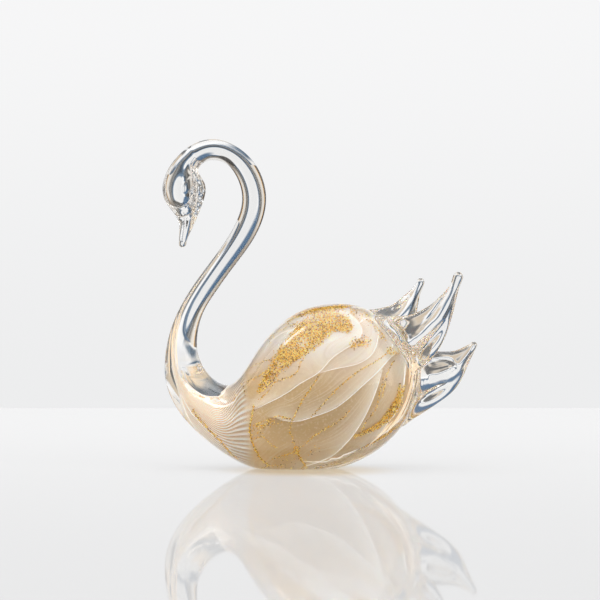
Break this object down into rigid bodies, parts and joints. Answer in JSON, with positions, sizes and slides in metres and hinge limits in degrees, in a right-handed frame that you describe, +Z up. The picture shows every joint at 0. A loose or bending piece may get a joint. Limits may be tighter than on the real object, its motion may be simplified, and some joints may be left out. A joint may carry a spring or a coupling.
{
  "type": "glass swan figurine",
  "caption": "Solid glass swan with a hooked neck, rounded veiled body and splayed pointed tail feathers, standing on a flat ground on its belly.",
  "frame": {"origin": "on the ground, in the middle of the swan's outline", "axes": "+Z up, -X the way the swan faces, +Y across its body"},
  "size_m": [0.1628, 0.075, 0.17],
  "materials": {
    "clear_glass": "fire-polished clear glass, smooth and glossy",
    "champagne_veil": "milky champagne glass, ribbed and twisted, under the clear casing",
    "gold_leaf": "crushed gold leaf, in flakes inside the glass"
  },
  "bodies": {
    "root": {"glass_swan": "clear_glass"}
  },
  "joints": []
}
